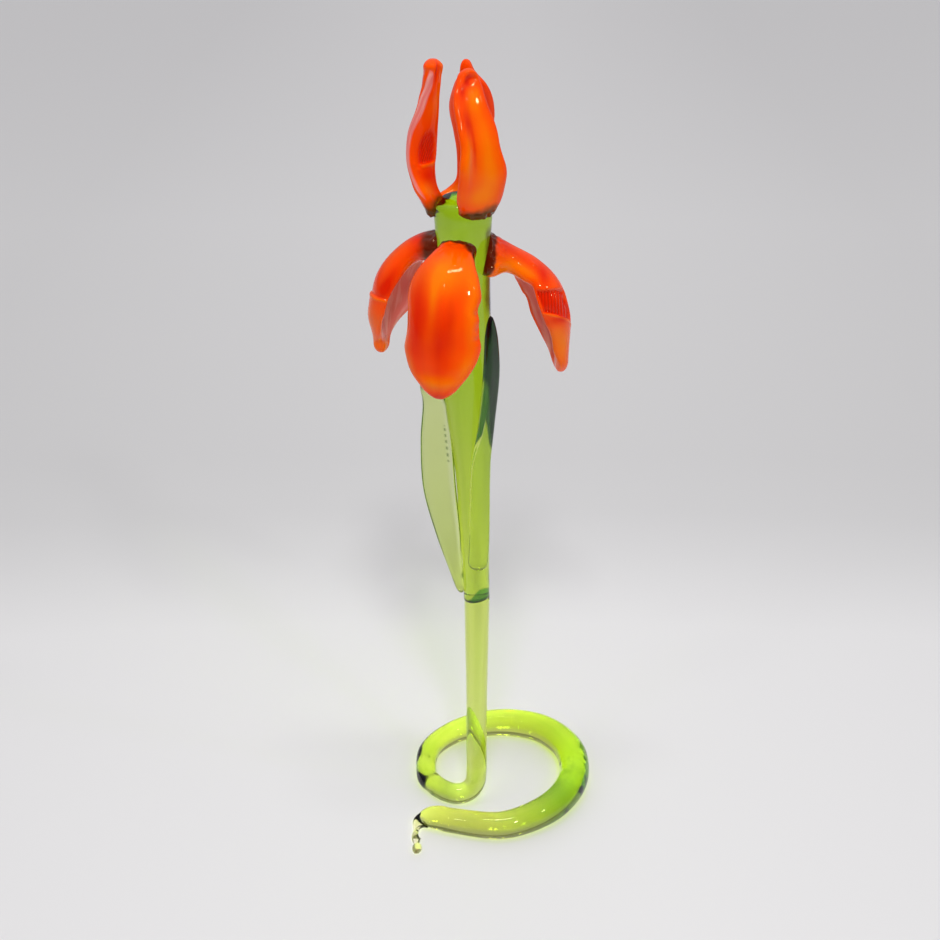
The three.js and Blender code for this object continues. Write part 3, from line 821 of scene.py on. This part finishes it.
flowerAxis = Vector((-1.4, 0, 0))
bladeFlow = (40, 9, 4)  # along, across and through every petal and leaf, mm
bladeEnds = {"tip": 0.92, "leafFoot": 0.05}  # shares where the ends begin to round off
handShaped = {"wave": 0.22, "ragged": 0.35}  # how far the surface strays, mm
bladeMesh = {"leaf": (160, 96), "ribbed": (320, 240), "plain": (220, 180)}  # rings along, segments round


def padAt(pad, share, place):
    left, right = pad["across"]
    start, end = pad["along"]
    softStart, softEnd, softSide = pad["soft"]
    along = share - pad["slant"] * (place - left)
    end -= pad.get("arch", 0) * (place - (left + right) / 2) ** 2
    return (
        soft(start - softStart, start + softStart, along)
        * (1 - soft(end - softEnd, end + softEnd, along))
        * soft(left - softSide, left + softSide, place)
        * (1 - soft(right - softSide, right + softSide, place))
    )


def ledgeAt(pad, share, place):  # a raised line where the tool stopped, painted bright as a highlight
    left, right = pad["across"]
    start, end = pad["along"]
    past = start - share if pad.get("ledgeBelow") else share - pad["slant"] * (place - left) - end
    sides = soft(left - 0.1, left + 0.1, place) * soft(right + 0.1, right - 0.1, place)
    return math.exp(-((past - 0.014) / 0.01) ** 2) * sides


def leafGlaze(blade, ring, place, facing, seed):  # how much painted highlight and painted shade a leaf has here
    share = ring["share"]
    paintedShade = soft(-0.12, 0.12, place - ring["darkFrom"])
    if "fold" in blade:
        fold = blade["fold"]
        (start, end), (low, high) = fold["share"], fold["place"]
        line = low + (high - low) * (share - start) / (end - start)
        broken = soft(-0.1, 0.1, math.sin(share * 260)) * (start < share < end) * (facing > 0)
        paintedShade = fold["amount"] * math.exp(-((place - line) / 0.06) ** 2) * broken
    paintedShade = min(paintedShade + spotsAt(ring["spots"]["thick"], place), 1)
    clear = 0
    if "clear" in blade:
        thin = blade["clear"]
        clear = soft(thin["from"], thin["to"], place) * thin["amount"] * soft(0.12, 0.25, share)
        clear *= 0.75 + 0.5 * noise.noise(Vector((share * 6, place * 3, seed)))
    return clear * (1 - paintedShade), paintedShade, 0, 0


def petalGlaze(blade, ring, place, facing, point, seed, pressed, ledge, grooveShade):  # red, pale, brown and pink
    share = ring["share"]
    uneven = noise.noise(Vector((share * 9, place * 3, seed + 5)))
    clouds = noise.noise(Vector((share * 7, place * 2, seed + 9)))
    # red: the glass's own deeper tone, and painted shade in the dish, valleys and pressed hollow; the ledge
    # is painted less red
    red = spotsAt(ring["spots"]["red"], place) + pressed + 0.15 * uneven - 0.5 * ledge
    # pale: lighter tone of the glass, and painted light on rims and the ledge's highlight
    pale = spotsAt(ring["spots"]["pale"], place) + 0.2 * clouds + 0.5 * ledge
    ragged = share + 0.015 * noise.noise(point * 0.7)
    # brown: the root's own colour, and painted shade in the rib grooves
    brown = spotsAt(spotsNear(blade["brown"], ragged), place) + 0.43 * grooveShade
    # pink: painted reflection of the pale floor on the undersides and on rims turned away
    turned = blade.get("pinkBelow", -0.3)
    rim = soft(-0.06, 0.06, place - ring["pinkFrom"]) * (1 - soft(0.96, 0.99, place))
    pink = max(1 - soft(turned - 0.12, turned + 0.12, facing), rim) * (1 - soft(0.86, 0.94, share))
    return [min(max(part, 0), 1) for part in (red, pale, brown, pink)]


def makeBlade(name, blade, mesh, material):
    azimuth = math.radians(blade["azimuth"])
    out = Vector((math.cos(azimuth), math.sin(azimuth), 0))
    across = Vector((-math.sin(azimuth), math.cos(azimuth), 0))
    shifts = blade.get("shift", [0] * len(blade["spine"]))
    spine = [
        flowerAxis + out * reach + Vector((0, 0, height)) + across * shift
        for (reach, height), shift in zip(blade["spine"], shifts)
    ]
    seed = sum(ord(letter) for letter in name)
    shown = blade.get("shown", 1)
    fineShare, fineAlong, fineTurn, fineRound = blade.get("focus", (0.5, 0, 0, 0))
    petal = "tintAndShade" not in blade
    pad = blade.get("pad")

    def ringAt(share):
        fineness = math.sin(math.tau * (share - fineShare)) + math.sin(math.tau * fineShare)
        share -= fineAlong / math.tau * fineness
        tip = max(0, (share - bladeEnds["tip"]) / (1 - bladeEnds["tip"]))
        rounding = math.sqrt(max(0, 1 - tip ** 2))
        if not petal and share < bladeEnds["leafFoot"]:
            rounding = math.sqrt(1 - (1 - share / bladeEnds["leafFoot"]) ** 2)
        centre = smoothAlong(spine, share)
        ahead = smoothAlong(spine, min(1, share + 0.001)) - smoothAlong(spine, max(0, share - 0.001))
        tangent = ahead.normalized()
        roll = math.radians(smoothAlong(blade.get("roll", [0, 0]), share))
        level = Matrix.Rotation(roll, 3, tangent) @ across
        side = (level - tangent * level.dot(tangent)).normalized()
        return {
            "share": share,
            "centre": centre, "side": side, "crest": tangent.cross(side), "rounding": rounding,
            "halfWidth": smoothAlong(blade["halfWidth"], share) * rounding,
            "thickness": smoothAlong(blade["thickness"], share) * rounding,
            "wrap": math.radians(smoothAlong(blade["wrap"], share)) or 0.001,
            "pinkFrom": smoothAlong(blade["pinkFrom"], share) if "pinkFrom" in blade else 9,
            "darkFrom": smoothAlong(blade["dark"], share) if "dark" in blade else 9,
            "spots": {
                kind: spotsNear(blade.get(kind, []), share) for kind in ("relief", "red", "pale", "thick")
            },
        }

    def pointAt(ring, share, turn):
        share = ring["share"]
        if turn is None:
            turn = 0
            ring = dict(ring, halfWidth=0.0001, thickness=0.0)
        turn -= fineRound * math.sin(turn - fineTurn)
        place, facing = math.sin(turn), math.cos(turn) * shown
        bendRound = 2 * ring["halfWidth"] / ring["wrap"]
        grow = 0
        if petal:
            edge = math.copysign(1, place)
            grow = sum(
                amount * math.exp(-((share - s) / ds) ** 2) * abs(place) ** (1 / dp)
                for s, side, ds, dp, amount in blade["edges"] if side == edge
            )
            grow = edge * grow * ring["rounding"] / max(ring["halfWidth"], 0.5)
        angle = (place + grow) * ring["wrap"] / 2
        upright = ring["side"] * math.sin(angle) + ring["crest"] * math.cos(angle)
        swell = ring["thickness"] / 2 * math.cos(turn) * math.sqrt(1 + place ** 2)
        point = ring["centre"] + upright * (bendRound + swell) - ring["crest"] * bendRound
        lengthwise, sideways, through = bladeFlow
        flow = Vector((share * lengthwise, place * sideways, math.cos(turn) * through + seed))
        if not petal:
            return point, leafGlaze(blade, ring, place, facing, seed), flow
        firm = ring["rounding"] * soft(0, 0.3, facing)
        lift = spotsAt(ring["spots"]["relief"], place)
        pressed = ledge = grooveShade = 0
        if pad:
            pressed, ledge = padAt(pad, share, place), ledgeAt(pad, share, place)
            lift += pad["depth"] * pressed + pad["lip"] * ledge
        if "ribs" in blade and pressed > 0:
            ribs = blade["ribs"]
            wave = math.cos(math.tau * point.dot(Vector(ribs["direction"])) / ribs["pitch"])
            lift += ribs["depth"] * pressed * wave
            grooveShade = pressed * soft(0.3, -0.6, wave)
        point += upright * shown * lift * firm
        wave = noise.noise(Vector((share * 5, place * 1.6, seed))) * handShaped["wave"]
        ragged = noise.noise(point * 0.9) * handShaped["ragged"] * (1 - soft(0.02, 0.16, share))
        point += upright * ring["rounding"] * (wave + ragged * math.copysign(1, math.cos(turn)))
        # the pressed hollow is painted redder as shade
        if pad:
            pressed *= pad.get("red", 1.0)
        return point, petalGlaze(blade, ring, place, facing, point, seed, pressed, ledge, grooveShade), flow

    rings, segments = mesh
    piece = gather("glass_" + name, rings, segments)
    drawOut(piece, ringAt, pointAt, "" if petal else name)
    finishPiece(piece, name, material)


for name, blade in blades.items():
    glass = fallGlass if name.startswith("fall") else standardGlass
    if "tintAndShade" in blade:
        glass = makeLimeGlass(
            "lime soda-lime glass, pressed " + name, name, blade["tintAndShade"], paintedShade=blade["paintedShade"], thin="f4f7ec",
        )
        makeBlade(name, blade, bladeMesh["leaf"], glass)
    else:
        mesh = bladeMesh["ribbed" if "ribs" in blade else "plain"]
        makeBlade(name, blade, mesh, glass)
    print(name + " pressed")
